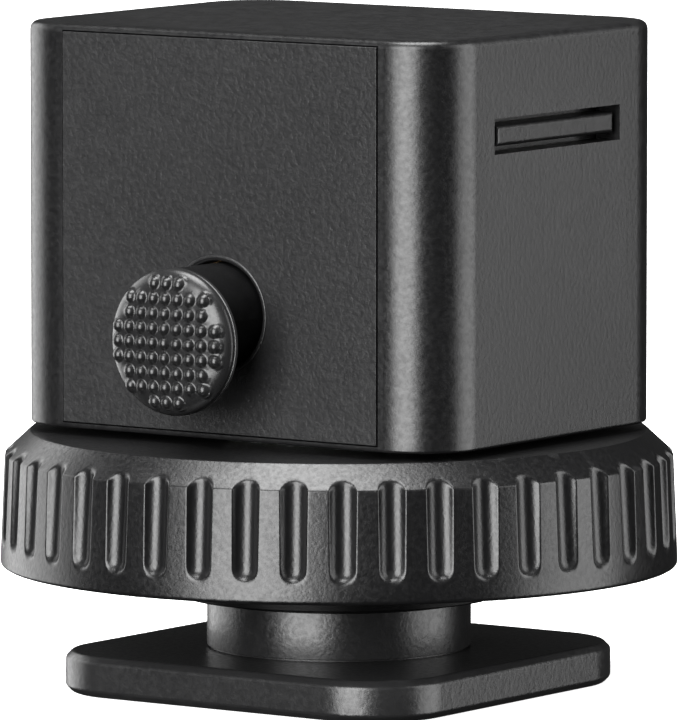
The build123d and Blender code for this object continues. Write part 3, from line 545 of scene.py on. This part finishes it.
def makeCap():
    low, high = span("thumb_cap")
    back, radius = high.y, (high.x - low.x) / 2
    centreZ = (low.z + high.z) / 2
    domeEdge = radius - cap["rimReach"]
    count = cap["rowsEachWay"]
    places = [
        (i * cap["bumpPitch"], j * cap["bumpPitch"])
        for i in range(-count, count + 1) for j in range(-count, count + 1)
        if math.hypot(i, j) <= cap["fieldReach"]
    ]

    def sag(away):
        return cap["domeRadius"] - math.sqrt(cap["domeRadius"] ** 2 - away ** 2)

    def plainFront(away):
        # height above the cap's back of the dome, which rolls over into the rim
        roll = min(1.0, max(0.0, away - domeEdge) / cap["rimReach"])
        drop = cap["rimDrop"] * (1 - math.sqrt(1 - roll * roll))
        return cap["rim"] + cap["rimDrop"] + sag(radius) - sag(away) - drop

    def front(x, z):
        # the same with the bumps on it, their feet blended in
        best = dome = plainFront(math.hypot(x, z))
        for bx, bz in places:
            gap = math.hypot(x - bx, z - bz)
            if gap > cap["bumpRadius"] + cap["foot"]:
                continue
            ball = plainFront(math.hypot(bx, bz)) + cap["bumpHeight"] - cap["bumpRadius"]
            if gap < cap["bumpRadius"]:
                ball += math.sqrt(cap["bumpRadius"] ** 2 - gap ** 2)
            near = max(cap["foot"] - abs(ball - dome), 0.0) / cap["foot"]
            best = max(best, max(ball, dome) + near * near * cap["foot"] / 4)
        return best

    # each ring is (radius, height above the back), with no height on the bumpy front
    rings = [(domeEdge * k / cap["rings"], None) for k in range(cap["rings"] + 1)]
    for s in range(1, cap["rimRings"] + 1):
        rings.append((domeEdge + cap["rimReach"] * math.sin(math.pi / 2 * s / cap["rimRings"]), None))
    deep, slope, soft = radius - cap["grooveDepth"], cap["grooveSlope"], cap["backRound"]
    rings += [(radius, cap["grooveHigh"]), (deep, cap["grooveHigh"] - slope)]
    rings += [(deep, cap["grooveLow"] + slope), (radius, cap["grooveLow"])]
    rings += [(radius, soft), (radius - soft * 0.3, soft * 0.3), (radius - soft, 0.0), (0.0, 0.0)]
    verts, faces = [], []
    spokes = circleSteps(cap["spokes"])
    for r, height in rings:
        for a in spokes:
            x, z = r * math.cos(a), r * math.sin(a)
            verts.append((x, back - (front(x, z) if height is None else height), centreZ + z))
    n = len(spokes)
    for k in range(len(rings) - 1):
        for i in range(n):
            j = (i + 1) % n
            faces.append((k * n + i, k * n + j, (k + 1) * n + j, (k + 1) * n + i))
    piece = newPiece("bumpy_thumb_cap", verts, faces)
    tidyMesh(piece, fineWeld)
    place(piece, "button", "cap_rubber", finishes["cap_rubber"], "thumb_cap", angle=60)


makeCap()
print("thumb cap made")

shell = {
    "corner": 2.73, "topRound": 0.35, "lowRound": 0.15, "wall": 1.2, "frontWall": 2.0, "innerCorner": 1.5,
    "panelGap": 0.06, "panelDepth": 1.0, "edge": 0.06, "bushLead": 0.5,
    "windowLength": 9.3, "windowHeight": 1.48, "windowLow": 12.12, "bushHole": 2.92, "socketHole": 4.77,
}


def makeShell():
    low, high = span("outer_shell")
    panelLow, panelHigh = span("face_plate")
    socket = span("umbrella_sleeve")
    socketZ = (socket[0].z + socket[1].z) / 2
    rows = filletRows(low.z, high.z, shell["lowRound"], shell["topRound"])
    body = loft("head_shell", high.x, high.y, shell["corner"], rows)
    innerX, rearY, frontY = high.x - shell["wall"], high.y - shell["wall"], low.y + shell["frontWall"]
    cavity = loft("cavity", innerX, (rearY - frontY) / 2, shell["innerCorner"],
                  [(low.z - past, 0), (high.z - shell["wall"], 0)])
    cavity.data.transform(Matrix.Translation((0, (rearY + frontY) / 2, 0)))
    gap = shell["panelGap"]
    recess = boxPiece("recess", (panelLow.x - gap, low.y - past, panelLow.z - gap),
                      (panelHigh.x + gap, low.y + shell["panelDepth"], panelHigh.z + gap))
    windowLow, reach = low.z + shell["windowLow"], shell["windowLength"] / 2
    windows = []
    for side in (-1, 1):
        near, far = sorted((side * (innerX - past), side * (high.x + past)))
        windowHigh = windowLow + shell["windowHeight"]
        windows.append(boxPiece("window", (near, -reach, windowLow), (far, reach, windowHigh)))
    bushStart = low.y + shell["bushLead"]
    bushHole = crossPin("bushHole", shell["bushHole"], bushStart, frontY + past, stemHeight(), 96)
    rearHole = crossPin("rearHole", shell["socketHole"], rearY - past, high.y + past, socketZ, 128)
    cut(body, cavity, recess, *windows, bushHole, rearHole)
    soften(body, shell["edge"])
    place(body, "head", "shell_plastic", finishes["shell_plastic"], "outer_shell", angle=35)


makeShell()
print("shell made")

panel = {
    "depth": 1.06, "edge": 0.025, "holeRadius": 2.25, "holeRound": 0.1, "holeSteps": 6, "plugReach": 3,
    "lipInner": 2.34, "lipOuter": 2.49, "lipRise": 0.06, "lipRoot": 0.12,
    "lipInRound": 0.06, "lipOutRound": 0.07,
    "pegRadius": 0.8, "pegX": 6.4, "pegHeights": (7.35, 13.6), "pegRoot": 0.9, "pegRound": 0.15,
}


def makePanel():
    low, high = span("face_plate")
    shellLow = span("outer_shell")[0]
    stemAxis = (0, 0, stemHeight())
    body = boxPiece("face_panel", low, (high.x, low.y + panel["depth"], high.z))
    soften(body, panel["edge"])
    hole, flare = panel["holeRadius"], panel["holeRound"]
    plugFront, plugBack = low.y - past, low.y + panel["plugReach"]
    mouth = []  # the hole's rounded front edge
    for s in range(panel["holeSteps"] + 1):
        a = math.pi / 2 * s / panel["holeSteps"]
        mouth.append((hole + flare * (1 - math.sin(a)), low.y + flare * (1 - math.cos(a)), 0))
    plug = lathe("plug", [(0, plugFront, 0), (hole + flare, plugFront, 0), *mouth,
                          (hole, plugBack, 0), (0, plugBack, 0)], stemAxis, "Y", 160)
    cut(body, plug)
    lipBack, lipFront = low.y + panel["lipRoot"], low.y - panel["lipRise"]
    extras = [lathe("lip", [
        (panel["lipInner"], lipBack, 0), (panel["lipInner"], lipFront, panel["lipInRound"]),
        (panel["lipOuter"], lipFront, panel["lipOutRound"]), (panel["lipOuter"], lipBack, 0),
    ], stemAxis, "Y", 160)]
    pegStart, r = low.y + panel["pegRoot"], panel["pegRadius"]
    pegProfile = [(0, pegStart, 0), (r, pegStart, 0), (r, high.y, panel["pegRound"]), (0, high.y, 0)]
    for side in (-1, 1):
        for height in panel["pegHeights"]:
            spot = (side * panel["pegX"], 0, shellLow.z + height)
            extras.append(lathe("peg", pegProfile, spot, "Y", 48))
    joinPieces(body, *extras)
    place(body, "head", "panel_plastic", finishes["panel_plastic"], "face_plate", angle=28)


makePanel()
print("face panel made")

foot = {
    "corner": 3.5, "thickness": 1.75, "chamfer": 0.28, "edgeRound": 0.09, "edgeAngle": 25,
    "bore": 3.5, "counterbore": 4.14, "sink": 1.2,
    "neck": 5.58, "neckRoot": 0.3, "neckTopRound": 0.08, "neckLowRound": 0.03, "boreRound": 0.05,
    "groove": 0.07, "grooveDepth": 0.12,
}


def makeFoot():
    high = span("foot_plate")[1]
    top, edge, bore = foot["thickness"], foot["chamfer"], foot["bore"]
    rows = [(0, edge), (edge, 0), (top - edge, 0), (top, edge)]
    plate = loft("shoe_foot_plate", high.x, high.y, foot["corner"], rows)
    hole = lathe("hole", [
        (0, -past, 0), (foot["counterbore"], -past, 0), (foot["counterbore"], foot["sink"], 0),
        (bore, foot["sink"], 0), (bore, top + past, 0), (0, top + past, 0),
    ], segments=160)
    cut(plate, hole)
    soften(plate, foot["edgeRound"], angle=foot["edgeAngle"])
    rootRadius, rootTop = foot["neck"] - foot["grooveDepth"], top + foot["groove"]
    rootLow = top - foot["neckRoot"]
    neck = lathe("neck", [
        (bore, rootLow, 0), (rootRadius, rootLow, 0), (rootRadius, rootTop, 0),
        (foot["neck"], rootTop, foot["neckLowRound"]), (foot["neck"], high.z, foot["neckTopRound"]),
        (bore, high.z, foot["boreRound"]),
    ])
    joinPieces(plate, neck)
    place(plate, "foot", "foot_plastic", finishes["foot_plastic"], "foot_plate", angle=35)


makeFoot()
print("foot made")

washer = {
    "lipWall": 0.32, "collarWall": 0.47, "lip": 0.18, "thickness": 0.7, "bore": 5.63,
    "edge": 0.08, "collarEdge": 0.05, "rootRound": 0.03, "lipEdge": 0.04, "lipRootRound": 0.02,
}


def makeWasher():
    low, high = span("clamp_washer")
    bore, lip = washer["bore"], low.z + washer["lip"]
    step = lip + washer["thickness"]
    collar, lipOut = bore + washer["collarWall"], bore + washer["lipWall"]
    ring = lathe("clamp_ring", [
        (bore, low.z, washer["rootRound"]), (lipOut, low.z, washer["lipEdge"]),
        (lipOut, lip, washer["lipRootRound"]),
        (high.x, lip, washer["edge"]), (high.x, step, washer["edge"]), (collar, step, washer["rootRound"]),
        (collar, high.z, washer["collarEdge"]), (bore, high.z, washer["collarEdge"]),
    ])
    place(ring, "clamp", "washer_steel", finishes["washer_steel"], "clamp_washer", angle=35)


makeWasher()
print("clamp ring made")

floor = {
    "size": 3000, "below": 0.01, "roughness": 0.8, "glow": 0.85,
    "cloudPerMm": 0.05, "dark": (0.93, 0.93, 0.93), "light": (0.95, 0.95, 0.95),
}


def makeFloor():
    s, z = floor["size"], -floor["below"]
    sheet = newPiece("floor", [(-s, -s, z), (s, -s, z), (s, s, z), (-s, s, z)], [(0, 1, 2, 3)])
    sheet.data.transform(Matrix.Scale(mm, 4))
    material, nodes, links, shader, spot = startMaterial("pale floor")
    cloud = noise(nodes, links, spot, floor["cloudPerMm"], 2.0, 0.5)
    links.new(tint(nodes, links, cloud, floor["dark"], floor["light"]), shader.inputs["Base Color"])
    shader.inputs["Roughness"].default_value = floor["roughness"]
    shader.inputs["Emission Color"].default_value = (1, 1, 1, 1)
    shader.inputs["Emission Strength"].default_value = floor["glow"]
    sheet.data.materials.append(material)
    sheet.visible_diffuse = False
    sheet.visible_glossy = False


makeFloor()

camera = {
    "azimuth": 35.117, "elevation": 6.083, "distance": 421.53,
    "focalPixels": 10001.0, "imageWidth": 678, "sensor": 36.0,
    "aim": (0.0, 0.0, 13.0), "shiftRight": -0.001, "shiftUp": 0.826,
    "nearest": 0.01, "farthest": 20,
}


def makeCamera():
    turn, lift = math.radians(camera["azimuth"]), math.radians(camera["elevation"])
    right = Vector((math.cos(turn), math.sin(turn), 0))
    ahead = Vector((-math.sin(turn) * math.cos(lift), math.cos(turn) * math.cos(lift), -math.sin(lift)))
    up = right.cross(ahead)
    aim = Vector(camera["aim"]) + right * camera["shiftRight"] + up * camera["shiftUp"]
    lens = bpy.data.cameras.new("camera")
    lens.sensor_fit = "HORIZONTAL"
    lens.sensor_width = camera["sensor"]
    lens.lens = camera["sensor"] * camera["focalPixels"] / camera["imageWidth"]
    lens.clip_start = camera["nearest"]
    lens.clip_end = camera["farthest"]
    eye = bpy.data.objects.new("camera", lens)
    facing = Matrix((right, up, -ahead)).transposed()
    eye.matrix_world = Matrix.Translation((aim - ahead * camera["distance"]) * mm) @ facing.to_4x4()
    bpy.context.scene.collection.objects.link(eye)
    bpy.context.scene.camera = eye


makeCamera()

lampAim = (0, 0, 14)
lamps = {  # bearing from the camera to the right, height, width, tall, power, distance
    "front left box": (-30.2, 8, 635, 1200, 28.8, 900),
    "left rim": (-130, 6, 800, 900, 6.6, 900),
    "right rim": (86, 8, 670, 1200, 10.8, 900),
    "top box": (-80, 84.5, 560, 560, 13.3, 900),
}


def makeLamps():
    for name, (bearing, height, width, tall, power, distance) in lamps.items():
        turn, lift = math.radians(camera["azimuth"] + bearing), math.radians(height)
        way = Vector((math.sin(turn) * math.cos(lift), -math.cos(turn) * math.cos(lift), math.sin(lift)))
        lamp = bpy.data.lights.new(name, "AREA")
        lamp.shape = "RECTANGLE"
        lamp.size = width * mm
        lamp.size_y = tall * mm
        lamp.energy = power
        holder = bpy.data.objects.new(name, lamp)
        holder.location = (Vector(lampAim) + way * distance) * mm
        holder.rotation_euler = way.to_track_quat("Z", "Y").to_euler()
        bpy.context.scene.collection.objects.link(holder)


makeLamps()


studio = {"fill": 0.032, "seen": 1.0}  # how bright the white surroundings light, and how bright they look


def makeWorld():
    world = bpy.data.worlds.new("studio")
    bpy.context.scene.world = world
    world.use_nodes = True
    nodes, links = world.node_tree.nodes, world.node_tree.links
    ray = nodes.new("ShaderNodeLightPath")
    mix = nodes.new("ShaderNodeMix")
    mix.inputs["A"].default_value = studio["fill"]
    mix.inputs["B"].default_value = studio["seen"]
    links.new(ray.outputs["Is Camera Ray"], mix.inputs["Factor"])
    back = nodes["Background"]
    back.inputs["Color"].default_value = (1, 1, 1, 1)
    links.new(mix.outputs["Result"], back.inputs["Strength"])


makeWorld()
bpy.context.scene.view_settings.view_transform = "Standard"
print("camera, lamps and floor set")
